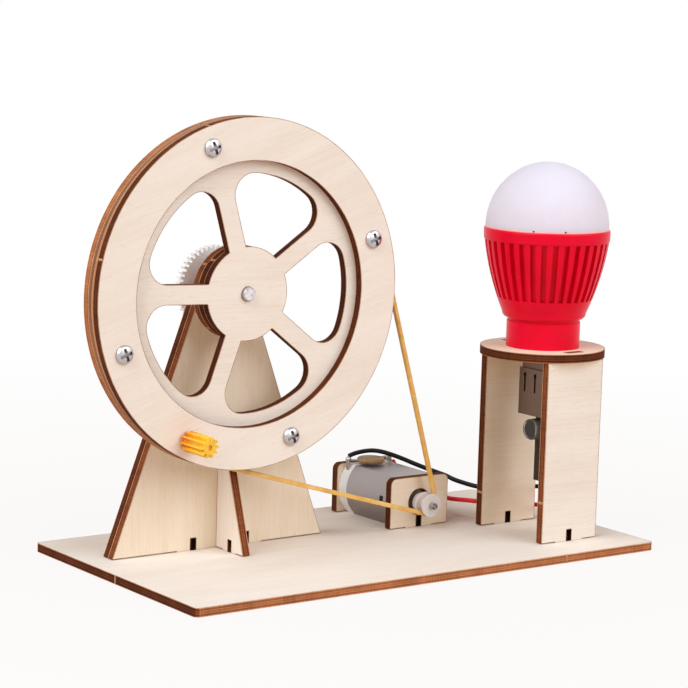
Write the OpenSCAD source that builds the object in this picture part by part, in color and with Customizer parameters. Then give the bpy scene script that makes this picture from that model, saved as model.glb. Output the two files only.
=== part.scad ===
// Hand crank generator from a classroom science kit.
// A laser-cut plywood flywheel drives a small motor through a rubber belt,
// and the motor feeds a bulb that is plugged into a socket under a round top.
// X runs to the right, Y to the back and Z up, from the middle of the underside.

/* [Sheet and base] */
// Thickness of the plywood sheet that every wooden piece is cut from
sheet_t = 2.5; // [2:0.1:3.2]
// Length of the base plate, left to right
base_l = 160; // [150:1:200]
// Depth of the base plate, front to back
base_w = 86; // [84:1:120]
// Corner radius of the base plate
base_corner_r = 1.5; // [0.5:0.1:6]
// Width of the slit that lets a tenon spring into its mortise
slit_w = 1.9; // [1:0.1:2.2]
// Height of that slit above the base
slit_h = 3.5; // [2:0.1:5]
// Side gap of a tenon in its mortise
tenon_gap = 0.15; // [0.05:0.05:0.4]
// Gap between the base and the shoulders beside a tenon
shoulder_gap = 0.2; // [0:0.05:0.3]

/* [Stand] */
// Distance of the stand's centre line from the left end of the base
stand_inset = 43.5; // [40:0.5:48]
// Front face of the stand's front plate
stand_y = 13.4; // [10:0.1:16]
// Width of the stand at the base
stand_foot_w = 71; // [50:1:74]
// Radius of the stand's rounded head about the axle
stand_head_r = 7.5; // [6:0.1:9]
// Width of the stand's tenon
stand_tenon_w = 29; // [24:1:40]
// Distance of the stand's two slits from its centre line
stand_slit_x = 9; // [5:0.5:10]
// Reach of the gusset in front of the stand
gusset_d = 14; // [11:0.5:16]
// Clear space between the gusset's sloping edge and the wheel
gusset_clear = 1; // [0.5:0.1:2]
// Width of the gusset's tenon
gusset_tenon_w = 7; // [5:0.5:9]

/* [Flywheel] */
// Height of the axle above the table
axle_z = 77; // [70:0.5:90]
// Axle diameter
axle_d = 4; // [2:0.1:5]
// Outer diameter of the wheel's two rings
wheel_d = 99; // [90:1:106]
// Width of the rings
ring_w = 12.1; // [10:0.1:14]
// Depth of the belt groove between the rings
groove_depth = 2; // [1.8:0.1:2.5]
// Diameter of the hub and of the hub discs
hub_d = 26.6; // [22:0.2:32]
// Number of spokes
spoke_n = 5; // [4:1:7]
// Spoke width
spoke_w = 5.6; // [5:0.1:8]
// Angle of the first spoke
spoke_a = 34; // [0:1:71]
// Width of the spoke disc's rim inside the rings
window_rim = 3.6; // [1.5:0.1:5]
// Radius of the windows' outer corners
window_r = 6; // [3:0.5:7]
// Length of the sleeve between hub and stand, with its end play
hub_gap = 4; // [2:0.1:6]
// Sleeve outer diameter
sleeve_d = 6; // [5:0.1:8]
// Length of axle that shows in front of the hub
axle_proud = 1.2; // [0.5:0.1:2]
// Number of ring screws
screw_n = 4; // [3:1:6]
// Angle of the first ring screw
screw_a = 19; // [0:1:40]
// Screw shank diameter
screw_d = 2.9; // [2:0.1:3.5]
// Screw head diameter
screw_head_d = 5.3; // [5:0.1:6.5]
// Screw head height
screw_head_h = 1.6; // [1.5:0.1:2.5]
// Screw length past the rear ring
screw_tail = 0.8; // [0.3:0.1:1]

/* [Crank and gears] */
// Angle of the crank pin round the wheel
crank_a = 243; // [230:1:250]
// Distance of the crank pin outside the screws' circle
crank_out = 1; // [0:0.1:2]
// Crank pin diameter
pin_d = 2; // [1.5:0.1:2.5]
// Module of both gears
gear_m = 0.5; // [0.45:0.01:0.55]
// Teeth of the pinion used as the crank knob
knob_teeth = 10; // [10:1:14]
// Length of the knob
knob_l = 11; // [10:0.5:16]
// Thickness of the knob's closed end
knob_wall = 1.5; // [1:0.1:3]
// Teeth of the gear that keeps the axle in the stand
axle_gear_teeth = 46; // [40:1:56]
// Face width of that gear
axle_gear_t = 2.2; // [2:0.1:5]
// Boss diameter of that gear
axle_boss_d = 8; // [6:0.1:10]
// Boss length behind that gear
axle_boss_l = 3; // [2:0.1:5]
// Radial running clearance of every shaft
run_gap = 0.05; // [0.02:0.01:0.08]
// End play between a turning piece and a fixed one
end_play = 0.3; // [0.2:0.05:0.5]

/* [Belt] */
// Side of the belt's square section
belt_s = 1.3; // [1:0.1:1.4]
// Gap between the belt and the grooves that it runs in
belt_gap = 0.3; // [0.25:0.05:0.35]
// Pulley flange diameter
pulley_d = 7; // [6:0.1:9]
// Pulley groove diameter
pulley_groove_d = 4; // [3.2:0.1:5]
// Pulley groove width
pulley_groove_w = 2; // [2:0.1:2.4]
// Pulley flange thickness
pulley_flange_t = 0.9; // [0.6:0.1:1.2]
// Boss diameter behind the pulley
pulley_boss_d = 5.6; // [4:0.1:6]

/* [Motor] */
// Distance along the base from the wheel's axle to the motor's shaft
motor_reach = 67.3; // [64:0.1:72]
// Front face of the motor's front plate
motor_y = 7.5; // [7:0.1:9]
// Motor diameter across the round sides
motor_d = 20.1; // [19:0.1:21]
// Motor height across the flats
motor_flat = 15.1; // [14.6:0.1:16]
// Length of the steel can
can_l = 21.1; // [19:0.1:24]
// Wall of the can
can_wall = 0.6; // [0.4:0.1:0.8]
// Length of the end cap
cap_l = 4; // [4:0.1:6]
// Shaft diameter
shaft_d = 2; // [1.8:0.1:2.2]
// Length of shaft that shows in front of the pulley
shaft_proud = 1.6; // [0.8:0.1:2]
// Diameter of the boss at each end of the motor
boss_d = 6.1; // [5.6:0.1:6.6]
// Height of those bosses
boss_h = 1.6; // [1:0.1:1.8]
// Bush outer diameter
bush_d = 4; // [3.4:0.1:4.6]
// Hole in each motor plate
motor_hole_d = 8; // [7:0.1:9]
// Width of the motor plates
motor_plate_w = 21.4; // [21:0.1:26]
// Height of the motor plates above the motor's top
motor_plate_over = 0.2; // [0.2:0.1:3]
// Radius of the plates' top corners
motor_plate_r = 2; // [1:0.1:4]
// Width of the plates' tenon
motor_tenon_w = 10; // [7:0.5:14]
// Rotor diameter
rotor_d = 12.6; // [12:0.1:13]
// Length of the rotor's stack
rotor_l = 9; // [7:0.1:10]
// Suppression capacitor diameter
noise_cap_d = 8.6; // [7:0.1:9]
// Suppression capacitor thickness
noise_cap_t = 1.6; // [1.2:0.1:1.8]

/* [Lamp tower] */
// Distance of the tower's axis from the right end of the base
lamp_inset = 21.7; // [19:0.1:24]
// Place of the tower's axis across the base
lamp_y = -14.2; // [-16:0.1:-13]
// Width of the posts
post_w = 20.9; // [18:0.1:22]
// Clear depth between the posts
post_gap = 25.8; // [24:0.1:26.4]
// Height of the posts above the base
post_h = 53.7; // [53:0.1:70]
// Width of the posts' bottom tenon
post_tenon_w = 10.5; // [8:0.5:14]
// Width of the posts' top tenon
post_top_tenon_w = 6; // [4:0.5:8]
// Diameter of the round top
disc_d = 37; // [36.6:0.1:44]

/* [Socket and board] */
// Width of the plug's metal shell
plug_w = 12; // [11.8:0.1:12.2]
// Thickness of the plug's metal shell
plug_t = 4.5; // [4.3:0.1:4.7]
// Length of the plug below the bulb
plug_l = 18.7; // [18:0.1:19]
// Wall of the plug's shell
plug_wall = 0.3; // [0.25:0.05:0.4]
// Thickness of the plastic core in the plug
plug_core_t = 1.9; // [1.7:0.1:2]
// Gap round the plug in the socket
plug_gap = 0.2; // [0.15:0.05:0.3]
// Wall of the socket's shell
socket_wall = 0.4; // [0.3:0.05:0.5]
// Length of the socket's shell
socket_l = 14; // [13.8:0.1:15]
// Depth that the plug goes into the socket
plug_in = 11.7; // [11:0.1:12]
// Gap round the plug in the round top
top_hole_gap = 0.8; // [0.4:0.1:1]
// Circuit board width
board_w = 10; // [9:0.5:13]
// Circuit board height
board_h = 29; // [27:0.5:31]
// Circuit board thickness
board_t = 1.4; // [1:0.1:1.6]
// Storage capacitor diameter
store_cap_d = 6.3; // [5:0.1:6.3]
// Storage capacitor length
store_cap_l = 5.4; // [5:0.1:8]

/* [Bulb] */
// Diameter of the bulb's rim
bulb_rim_d = 37.4; // [36:0.1:42]
// Height of the smooth rim above the ribs
bulb_rim_h = 3.7; // [3:0.1:6]
// Diameter of the housing where its taper starts
bulb_waist_d = 25; // [24:0.1:27]
// Height of the seam above the round top
bulb_seam_h = 35.6; // [33:0.1:40]
// Neck diameter
bulb_neck_d = 21.8; // [20:0.1:23]
// Neck height
bulb_neck_h = 8.6; // [6:0.1:9]
// Outward bow of the tapered side
bulb_bow = 0.8; // [0.4:0.1:1.5]
// Number of grooves round the housing
rib_n = 34; // [24:1:36]
// Width of a groove
rib_w = 1.6; // [1:0.1:1.7]
// Depth of a groove at its ends
rib_depth = 1.2; // [0.8:0.1:1.6]
// Height of the milky dome
dome_h = 19.1; // [16:0.1:24]
// Wall of the dome
dome_wall = 1.2; // [0.8:0.1:1.8]
// Width of the rim's sloping lip, from the rim to the dome
dome_inset = 0.45; // [0.1:0.05:0.6]
// Height of that lip
bulb_lip_h = 0.9; // [0.4:0.1:1.5]

/* [Wires] */
// Wire diameter
wire_d = 1.4; // [1.2:0.1:1.5]

/* [Hidden] */
$fn = 96;
// Length by which a cutter runs past the face that it opens
over = 1;

// Colours of the materials
ply = "#F0E0CC";
steel = "#A6A8AB";
zinc = "#D5D6D8";
brass_yellow = "#C9A24A";
white_plastic = "#F1EFEA";
amber = "#F2A81E";
rubber_amber = "#E0A94F";
bulb_red = "#E8122B";
milky = "#ECE6F0";
copper = "#B5693A";
dark_steel = "#4A4A4E";

// Places along the base
stand_x = stand_inset - base_l / 2;
motor_x = stand_x + motor_reach;
lamp_x = base_l / 2 - lamp_inset;

// Levels of the stack from the table to the bulb
base_top = sheet_t;
motor_z = base_top + motor_flat / 2;
motor_top = base_top + motor_flat;
motor_plate_top = motor_top + motor_plate_over;
post_top = base_top + post_h;
disc_top = post_top + sheet_t;
shoulder_z = base_top + shoulder_gap;
gusset_h = gusset_d * (axle_z - wheel_d / 2 - base_top) / (gusset_d - hub_gap - sheet_t + gusset_clear);

// Depths of the wheel's layers, front to back
stand_back = stand_y + 2 * sheet_t;
hub_back = stand_y - hub_gap;
hub_rear_y = hub_back - sheet_t;
rear_ring_y = hub_rear_y - sheet_t;
disc_y = rear_ring_y - sheet_t;
ring_y = disc_y - sheet_t;
belt_y = disc_y + sheet_t / 2;
gear_y = stand_back + end_play;
axle_back = gear_y + axle_gear_t + axle_boss_l;

// Radii of the wheel
wheel_r = wheel_d / 2;
groove_r = wheel_r - groove_depth;
hub_r = hub_d / 2;
ring_inner_r = wheel_r - ring_w;
window_out_r = ring_inner_r - window_rim;
screw_pcr = wheel_r - ring_w / 2;
crank_r = screw_pcr + crank_out;
crank_x = stand_x + crank_r * cos(crank_a);
crank_z = axle_z + crank_r * sin(crank_a);
knob_back = ring_y - end_play;
knob_tip = knob_back - knob_l;

// Depths along the motor's axis
can_y = motor_y + sheet_t;
cap_y = can_y + can_l;
motor_back = cap_y + cap_l;
pulley_front = belt_y - pulley_groove_w / 2 - pulley_flange_t;
pulley_back = belt_y + pulley_groove_w / 2 + pulley_flange_t;
pulley_boss_back = motor_y - end_play;
shaft_back = motor_back + boss_h / 2;
can_inner_d = motor_d - 2 * can_wall;
can_inner_flat = motor_flat - 2 * can_wall;
cap_floor = 1.6;
rotor_y = can_y + can_wall + 4;
rotor_back = rotor_y + rotor_l;
commutator_d = 4.8;
commutator_y = cap_y + end_play;
commutator_l = 1.8;
terminal_x = 7.9;
terminal_t = 0.5;
terminal_w = 1.4;
terminal_top = motor_top + 1.8;
terminal_y = motor_back - 1.7;
// Rest place of the suppression capacitor on the motor's flat
noise_cap_x = motor_x - 1.5;
noise_cap_y = cap_y - 0.6;
noise_lift = 0.6;

// Places of the socket, its board and the plug
socket_top = disc_top - plug_l + plug_in;
socket_bottom = socket_top - socket_l;
plug_tip = disc_top - plug_l;
socket_in_w = plug_w + 2 * plug_gap;
socket_in_t = plug_t + 2 * plug_gap;
socket_out_w = socket_in_w + 2 * socket_wall;
socket_out_t = socket_in_t + 2 * socket_wall;
board_x = lamp_x + socket_out_t / 2;
board_drop = 5.7;
board_top = socket_top - board_drop;
board_bottom = board_top - board_h;
post_front_y = lamp_y - post_gap / 2 - sheet_t;
post_rear_y = lamp_y + post_gap / 2;
store_cap_y = lamp_y + 1.5;
store_cap_z = socket_bottom - 1.2 - store_cap_d / 2;

// Levels of the bulb above the round top
bulb_foot_h = 1.8;
bulb_waist_z = bulb_neck_h + bulb_foot_h;
bulb_band_z = bulb_seam_h - bulb_rim_h;
bulb_rim_lip = 0.3;
bulb_band_r = bulb_rim_d / 2 - bulb_rim_lip;
rib_foot_h = 4.3;
rib_top_z = bulb_band_z;
rib_bottom_z = bulb_waist_z + rib_foot_h;
led_board_d = 30;
led_board_t = 1.6;
led_recess = 3;

// Routes of the two wires, first past the motor and then round the lamp tower to the board
black_start = [[-7.6, 33.4, 20.3], [-5.6, 33.6, 20.75], [-3.2, 33.7, 21.05], [-0.7, 33.6, 21.2],
    [1.8, 33.2, 21.1], [4.4, 32.2, 20.6], [7, 30.4, 19.7], [9.2, 28, 18.7], [11.2, 25, 17.6],
    [13.2, 22, 16.6], [15, 19.2, 15.75], [16.8, 16.2, 14.9]];
black_end = [[-10, 13, 14.2], [-8.4, 9.8, 13.5], [-6.8, 7, 13], [-4.4, 4.6, 12.5],
    [-1.4, 3.2, 12.1], [2.1, 2.6, 11.8], [5.6, 2.4, 11.7], [9.2, 2.4, 11.8], [11.4, 2, 12],
    [12.7, 0.4, 12.2], [13, -1.8, 12.5], [12.6, -4.4, 13.2], [11, -7.2, 14], [8.8, -10.4, 15.4],
    [6.6, -13.6, 17], [5.2, -16, 19.6]];
red_start = [[9, 33.2, 17.3], [9.8, 33.2, 16.1], [10.8, 32.9, 14.4], [11.8, 32.1, 12.6],
    [13, 30.7, 11.1], [14.2, 28.7, 10], [15.4, 26, 9.3], [16.1, 23, 8.8], [16.5, 20, 8.5], [16.6, 17, 8.3]];
red_end = [[-11.4, 13.4, 8.4], [-10.8, 10.2, 8.6], [-9.8, 7.4, 8.8], [-8.2, 4.9, 8.8], [-5.4, 3.2, 8.4],
    [-1.8, 2.6, 7.9], [1.8, 2.4, 7.4], [5.4, 2.4, 7], [9.2, 2.4, 6.6], [11.4, 2, 6.4],
    [12.7, 0.4, 6.4], [13, -1.8, 6.4], [12.4, -4.2, 6.8], [10.4, -6.2, 7.8], [8, -7.6, 9.6],
    [6.4, -8.8, 12.2], [5.5, -9.8, 15.4], [5.3, -10.6, 19]];
function wire_route(start, end) = concat([for (p = start) p + [motor_x, 0, 0]],
    [for (p = end) p + [lamp_x, 0, 0]]);

// Points of a gear outline with straight-sided teeth
function gear_points(teeth, m) =
    let (tip = m * (teeth / 2 + 1), root = m * (teeth / 2 - 1.25))
    [for (i = [0:teeth - 1])
        for (corner = [[-0.33, root], [-0.15, tip], [0.15, tip], [0.33, root]])
            corner[1] * [cos((i + corner[0]) * 360 / teeth), sin((i + corner[0]) * 360 / teeth)]];

// Radius of the bulb's tapered side at a height above the round top
function bulb_side_r(z) =
    let (t = (z - bulb_waist_z) / (bulb_band_z - bulb_waist_z))
    bulb_waist_d / 2 + t * (bulb_band_r - bulb_waist_d / 2) + 4 * bulb_bow * t * (1 - t);

// Direction of a route at one of its points
function route_dir(route, i) =
    let (d = route[min(i + 1, len(route) - 1)] - route[max(i - 1, 0)])
    d / norm(d);

// One ring of a tube, square to the route
function tube_ring(route, i, r, sides) =
    let (d = route_dir(route, i), c = cross([0, 0, 1], d), u = c / norm(c), v = cross(d, u))
    [for (k = [0:sides - 1]) route[i] + r * (cos(k * 360 / sides) * u + sin(k * 360 / sides) * v)];

// A wire: one tube swept along a route
module wire(route, d) {
    sides = 8;
    last = len(route) - 1;
    points = [for (i = [0:last]) each tube_ring(route, i, d / 2, sides)];
    walls = [for (i = [0:last - 1], k = [0:sides - 1])
        let (a = i * sides + k, b = i * sides + (k + 1) % sides)
        each [[a, a + sides, b], [b, a + sides, b + sides]]];
    front = [for (k = [1:sides - 2]) [0, k, k + 1]];
    end = last * sides;
    back = [for (k = [1:sides - 2]) [end, end + k + 1, end + k]];
    polyhedron(points, concat(walls, front, back));
}

// An upright sheet whose outline is drawn in X and Z, with its front face at y
module upright(y, t = sheet_t) {
    translate([0, y + t, 0]) rotate([90, 0, 0]) linear_extrude(t) children();
}

// A round bar along Y between two depths
module bar(x, z, y0, y1, d) {
    translate([x, y1, z]) rotate([90, 0, 0]) cylinder(d = d, h = y1 - y0);
}

// A turned shape whose profile starts at a depth and runs forward
module turned(x, z, y) {
    translate([x, y, z]) rotate([90, 0, 0]) rotate_extrude() children();
}

// A rectangle with rounded corners, centred
module round_rect(w, h, r) {
    square([w - 2 * r, h], center = true);
    square([w, h - 2 * r], center = true);
    for (x = [-1, 1], y = [-1, 1]) translate([x * (w / 2 - r), y * (h / 2 - r)]) circle(r);
}

// A tenon below a sheet's shoulder, which stands on the base
module tenon(w) {
    translate([-w / 2, 0]) square([w, base_top + over]);
}

// The slit up the middle of a tenon
module slit() {
    translate([-slit_w / 2, -over]) square([slit_w, base_top + slit_h + over]);
}

// The mortise for a tenon in the base plate, t deep from front to back
module mortise(w, t) {
    translate([-w / 2 - tenon_gap, 0, -over]) cube([w + 2 * tenon_gap, t, base_top + 2 * over]);
}

module base_plate() {
    color(ply) difference() {
        linear_extrude(base_top) round_rect(base_l, base_w, base_corner_r);
        translate([stand_x, stand_y, 0]) mortise(stand_tenon_w, 2 * sheet_t);
        translate([stand_x + sheet_t / 2, stand_y - gusset_d / 2, 0]) rotate([0, 0, 90])
            mortise(gusset_tenon_w, sheet_t);
        translate([motor_x, motor_y, 0]) mortise(motor_tenon_w, sheet_t);
        translate([motor_x, motor_back, 0]) mortise(motor_tenon_w, sheet_t);
        translate([lamp_x, post_front_y, 0]) mortise(post_tenon_w, sheet_t);
        translate([lamp_x, post_rear_y, 0]) mortise(post_tenon_w, sheet_t);
    }
}

// One of the two stand plates that are glued face to face
module stand_plate(y) {
    foot = stand_foot_w / 2;
    color(ply) upright(y) difference() {
        translate([stand_x, 0]) {
            hull() {
                polygon([[-foot, shoulder_z], [foot, shoulder_z], [0, axle_z]]);
                translate([0, axle_z]) circle(stand_head_r);
            }
            tenon(stand_tenon_w);
        }
        translate([stand_x, axle_z]) circle(d = axle_d + 2 * run_gap);
        for (side = [-1, 1]) translate([stand_x + side * stand_slit_x, 0]) slit();
    }
}

module stand_front_plate() {
    stand_plate(stand_y);
}

module stand_rear_plate() {
    stand_plate(stand_y + sheet_t);
}

module stand_gusset() {
    color(ply) translate([stand_x - sheet_t / 2, 0, 0]) rotate([90, 0, 90]) linear_extrude(sheet_t)
        translate([stand_y - gusset_d / 2, 0]) difference() {
            union() {
                polygon([[-gusset_d / 2, shoulder_z], [gusset_d / 2, shoulder_z],
                    [gusset_d / 2, base_top + gusset_h]]);
                tenon(gusset_tenon_w);
            }
            slit();
        }
}

// One of the two plates that clamp the motor
module motor_plate(y) {
    w = motor_plate_w;
    r = motor_plate_r;
    h = motor_plate_top - shoulder_z;
    color(ply) upright(y) translate([motor_x, 0]) difference() {
        union() {
            translate([-w / 2, shoulder_z]) square([w, h - r]);
            translate([-w / 2 + r, shoulder_z]) square([w - 2 * r, h]);
            for (side = [-1, 1]) translate([side * (w / 2 - r), motor_plate_top - r]) circle(r);
            tenon(motor_tenon_w);
        }
        translate([0, motor_z]) circle(d = motor_hole_d);
        slit();
    }
}

module motor_front_plate() {
    motor_plate(motor_y);
}

module motor_rear_plate() {
    motor_plate(motor_back);
}

// The motor's section: a circle with its top and bottom cut flat
module motor_section(d, flat) {
    translate([motor_x, motor_z]) intersection() {
        circle(d = d);
        square([d + 2 * over, flat], center = true);
    }
}

module motor_can() {
    vent = 1.8;
    color(steel) difference() {
        union() {
            upright(can_y, can_l) motor_section(motor_d, motor_flat);
            bar(motor_x, motor_z, can_y - boss_h, can_y + can_wall, boss_d);
        }
        upright(can_y + can_wall, can_l) motor_section(can_inner_d, can_inner_flat);
        bar(motor_x, motor_z, can_y - boss_h - over, can_y + can_wall + over, bush_d);
        // square vent in each round side
        translate([motor_x, can_y + 3.2, motor_z + 0.8])
            cube([motor_d + 2 * over, vent, vent], center = true);
    }
}

module motor_end_cap() {
    color(white_plastic) difference() {
        union() {
            upright(cap_y, cap_l) motor_section(motor_d, motor_flat);
            bar(motor_x, motor_z, motor_back - cap_floor, motor_back + boss_h, boss_d);
        }
        upright(cap_y - over, cap_l - cap_floor + over) motor_section(can_inner_d, can_inner_flat);
        bar(motor_x, motor_z, motor_back - cap_floor - over, motor_back + boss_h + over, bush_d);
    }
}

module motor_magnets() {
    air_gap = 0.5;
    glue_gap = 0.1;
    end_room = 2;
    h = 0.8 * can_inner_flat;
    color(dark_steel) upright(can_y + can_wall + end_room, can_l - can_wall - 2 * end_room) difference() {
        intersection() {
            motor_section(can_inner_d - 2 * glue_gap, can_inner_flat);
            translate([motor_x, motor_z]) square([can_inner_d, h], center = true);
        }
        translate([motor_x, motor_z]) circle(d = rotor_d + 2 * air_gap);
    }
}

// A plain bearing bush for the motor's shaft
module bush(y0, y1) {
    color(brass_yellow) difference() {
        bar(motor_x, motor_z, y0, y1, bush_d);
        bar(motor_x, motor_z, y0 - over, y1 + over, shaft_d + 2 * run_gap);
    }
}

module motor_front_bush() {
    bush(can_y - boss_h, can_y + can_wall);
}

module motor_rear_bush() {
    bush(motor_back - cap_floor, motor_back + boss_h);
}

// Leaf brushes that bear on the two sides of the commutator
module motor_brushes() {
    leaf = [0.3, 1.6, can_inner_flat - 0.2];
    leaf_gap = 0.1;
    leaf_x = commutator_d / 2 + leaf_gap + leaf[0] / 2;
    color(copper) for (side = [-1, 1])
        translate([motor_x + side * leaf_x, commutator_y + commutator_l / 2, motor_z + leaf_gap])
            cube(leaf, center = true);
}

module motor_terminals() {
    color(brass_yellow) difference() {
        for (side = [-1, 1])
            translate([motor_x + side * terminal_x - terminal_t / 2, terminal_y - terminal_w / 2, motor_z])
                cube([terminal_t, terminal_w, terminal_top - motor_z]);
        bar(motor_x, motor_z, cap_y - over, motor_back + over, motor_d);
    }
}

// A lens-shaped ceramic capacitor whose leads reach both terminals
module noise_capacitor() {
    r = noise_cap_d / 2;
    half = noise_cap_t / 2;
    lead_d = 0.6;
    lead_gap = 0.4;
    lead_z = motor_top + noise_lift + half;
    bow = [for (a = [-90:15:90]) [r - half + half * cos(a), half * sin(a)]];
    color("#B48A55") translate([noise_cap_x, noise_cap_y, lead_z])
        rotate_extrude() polygon(concat([[0, -half]], bow, [[0, half]]));
    // bare wire leads
    color(zinc) for (side = [-1, 1])
        let (from = [noise_cap_x + side * (r - 0.8), noise_cap_y + 1.6, lead_z],
            to = [motor_x + side * (terminal_x - terminal_t / 2), terminal_y, lead_z],
            run = to - from)
            translate(from) rotate([0, 90, atan2(run[1], run[0])])
                cylinder(d = lead_d, h = norm(run) - lead_gap);
}

// One of the two posts, with a tenon at each end
module lamp_post(y) {
    color(ply) upright(y) translate([lamp_x, 0]) difference() {
        union() {
            translate([-post_w / 2, shoulder_z]) square([post_w, post_top - shoulder_z]);
            tenon(post_tenon_w);
            translate([-post_top_tenon_w / 2, post_top - over]) square([post_top_tenon_w, sheet_t + over]);
        }
        slit();
    }
}

module lamp_front_post() {
    lamp_post(post_front_y);
}

module lamp_rear_post() {
    lamp_post(post_rear_y);
}

module lamp_top_disc() {
    slot_w = post_top_tenon_w + 2 * tenon_gap;
    hole = [plug_t + 2 * top_hole_gap, plug_w + 2 * top_hole_gap];
    color(ply) translate([0, 0, post_top]) linear_extrude(sheet_t) difference() {
        translate([lamp_x, lamp_y]) circle(d = disc_d);
        translate([lamp_x, lamp_y]) square(hole, center = true);
        for (y = [post_front_y, post_rear_y]) translate([lamp_x - slot_w / 2, y]) square([slot_w, sheet_t]);
    }
}

module boost_board() {
    color("#3A302A") translate([board_x, lamp_y - board_w / 2, board_bottom])
        cube([board_t, board_w, board_h]);
}

// The converter's chip and its drum choke on the back of the board
module boost_parts() {
    choke_d = 5;
    choke_l = 3;
    choke_up = 18;
    chip = [1.3, 3, 4];
    chip_up = 11;
    back = board_x + board_t;
    color(dark_steel) {
        translate([back, lamp_y, board_bottom + choke_up]) rotate([0, 90, 0])
            cylinder(d = choke_d, h = choke_l);
        translate([back, lamp_y - chip[1] / 2, board_bottom + chip_up]) cube(chip);
    }
}

// The round capacitor whose end looks out between the posts
module storage_capacitor() {
    r = store_cap_d / 2;
    crimp = 0.25;
    color("#55504C") translate([board_x, store_cap_y, store_cap_z]) rotate([0, -90, 0]) rotate_extrude()
        polygon([[0, 0], [r, 0], [r, store_cap_l - 2 * crimp], [r - crimp, store_cap_l - crimp],
            [r - crimp, store_cap_l], [r - 2 * crimp, store_cap_l], [r - 2.5 * crimp, store_cap_l - crimp],
            [0, store_cap_l - crimp]]);
}

// Folded metal shell of the socket, open at the top, with two spring slots
module socket_shell() {
    slot_w = 0.7;
    slot_l = 5;
    slot_y = 2.3;
    slot_shift = 1.7;
    floor_t = socket_wall;
    color(zinc) translate([lamp_x, lamp_y, socket_bottom]) difference() {
        translate([-socket_out_t / 2, -socket_out_w / 2, 0]) cube([socket_out_t, socket_out_w, socket_l]);
        translate([-socket_in_t / 2, -socket_in_w / 2, floor_t]) cube([socket_in_t, socket_in_w, socket_l]);
        for (y = [slot_shift - slot_y, slot_shift + slot_y]) {
            translate([-socket_out_t / 2 - over, y - slot_w / 2, socket_l - slot_l - 2])
                cube([over + socket_wall + plug_gap / 2, slot_w, slot_l]);
            translate([-socket_out_t / 2 - over, y, socket_l - 2]) rotate([0, 90, 0])
                cylinder(d = 2 * slot_w, h = over + socket_wall + plug_gap / 2, $fn = 24);
        }
    }
}

// The plastic tongue that carries the socket's contacts
module socket_tongue() {
    block_h = socket_l - plug_in - socket_wall - plug_gap;
    tongue_t = plug_t - 2 * plug_wall - plug_core_t - 2 * plug_gap;
    tongue_w = plug_w - 2 * plug_wall - 4 * plug_gap;
    tongue_h = plug_in - 2;
    color("#2A2A2E") translate([lamp_x, lamp_y, socket_bottom + socket_wall]) {
        translate([-socket_in_t / 2, -socket_in_w / 2, 0]) cube([socket_in_t, socket_in_w, block_h]);
        translate([plug_t / 2 - plug_wall - plug_gap - tongue_t, -tongue_w / 2, 0])
            cube([tongue_t, tongue_w, block_h + plug_gap + tongue_h]);
    }
}

// The area that an open belt spans round the wheel and the pulley at given radii
module belt_area(wheel_belt_r, pulley_belt_r) {
    a = [stand_x, axle_z];
    b = [motor_x, motor_z];
    span = norm(b - a);
    u = (b - a) / span;
    s = (wheel_belt_r - pulley_belt_r) / span;
    c = sqrt(1 - s * s);
    n1 = [u[0] * s - u[1] * c, u[1] * s + u[0] * c];
    n2 = [u[0] * s + u[1] * c, u[1] * s - u[0] * c];
    translate(a) circle(wheel_belt_r, $fn = 180);
    translate(b) circle(pulley_belt_r);
    polygon([a + wheel_belt_r * n1, b + pulley_belt_r * n1, b + pulley_belt_r * n2, a + wheel_belt_r * n2]);
}

module drive_belt() {
    wheel_in = groove_r + belt_gap;
    pulley_in = pulley_groove_d / 2 + belt_gap;
    color(rubber_amber) upright(belt_y - belt_s / 2, belt_s) difference() {
        belt_area(wheel_in + belt_s, pulley_in + belt_s);
        belt_area(wheel_in, pulley_in);
    }
}

module black_wire() {
    color("#17171A") wire(wire_route(black_start, black_end), wire_d);
}

module red_wire() {
    color("#D3202E") wire(wire_route(red_start, red_end), wire_d);
}

// Holes for the screws and the crank pin, on the wheel's own centre
module wheel_holes() {
    for (i = [0:screw_n - 1]) rotate(screw_a + i * 360 / screw_n)
        translate([screw_pcr, 0]) circle(d = screw_d);
    rotate(crank_a) translate([crank_r, 0]) circle(d = pin_d);
}

module wheel_ring(y) {
    color(ply) upright(y) translate([stand_x, axle_z]) difference() {
        circle(wheel_r, $fn = 180);
        circle(ring_inner_r, $fn = 180);
        wheel_holes();
    }
}

module wheel_front_ring() {
    wheel_ring(ring_y);
}

module wheel_rear_ring() {
    wheel_ring(rear_ring_y);
}

// Points of an arc about a centre, between two angles
function arc(centre, r, from, to, steps) = [for (i = [0:steps])
    let (a = from + (to - from) * i / steps)
    centre + r * [cos(a), sin(a)]];

// Outline of the window between two spokes, with rounded corners at the rim
function window_points() =
    let (half = spoke_w / 2, spoke = 180 / spoke_n, corner_r = window_out_r - window_r)
    let (hub_edge = spoke - asin(half / hub_r))
    let (corner = spoke - asin((half + window_r) / corner_r))
    let (upper = corner_r * [cos(corner), sin(corner)], lower = [upper[0], -upper[1]])
    concat(arc([0, 0], hub_r, -hub_edge, hub_edge, 12),
        arc(upper, window_r, spoke + 90, corner, 10),
        arc([0, 0], window_out_r, corner, -corner, 16),
        arc(lower, window_r, -corner, -spoke - 90, 10));

module wheel_spoke_disc() {
    color(ply) upright(disc_y) translate([stand_x, axle_z]) difference() {
        circle(groove_r, $fn = 180);
        for (i = [0:spoke_n - 1]) rotate(spoke_a + (i + 0.5) * 360 / spoke_n) polygon(window_points());
        circle(d = axle_d);
        wheel_holes();
    }
}

// One of the two discs that thicken the hub behind the spokes
module hub_disc(y) {
    color(ply) upright(y) translate([stand_x, axle_z]) difference() {
        circle(hub_r);
        circle(d = axle_d);
    }
}

module hub_disc_front() {
    hub_disc(rear_ring_y);
}

module hub_disc_rear() {
    hub_disc(hub_rear_y);
}

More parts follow.
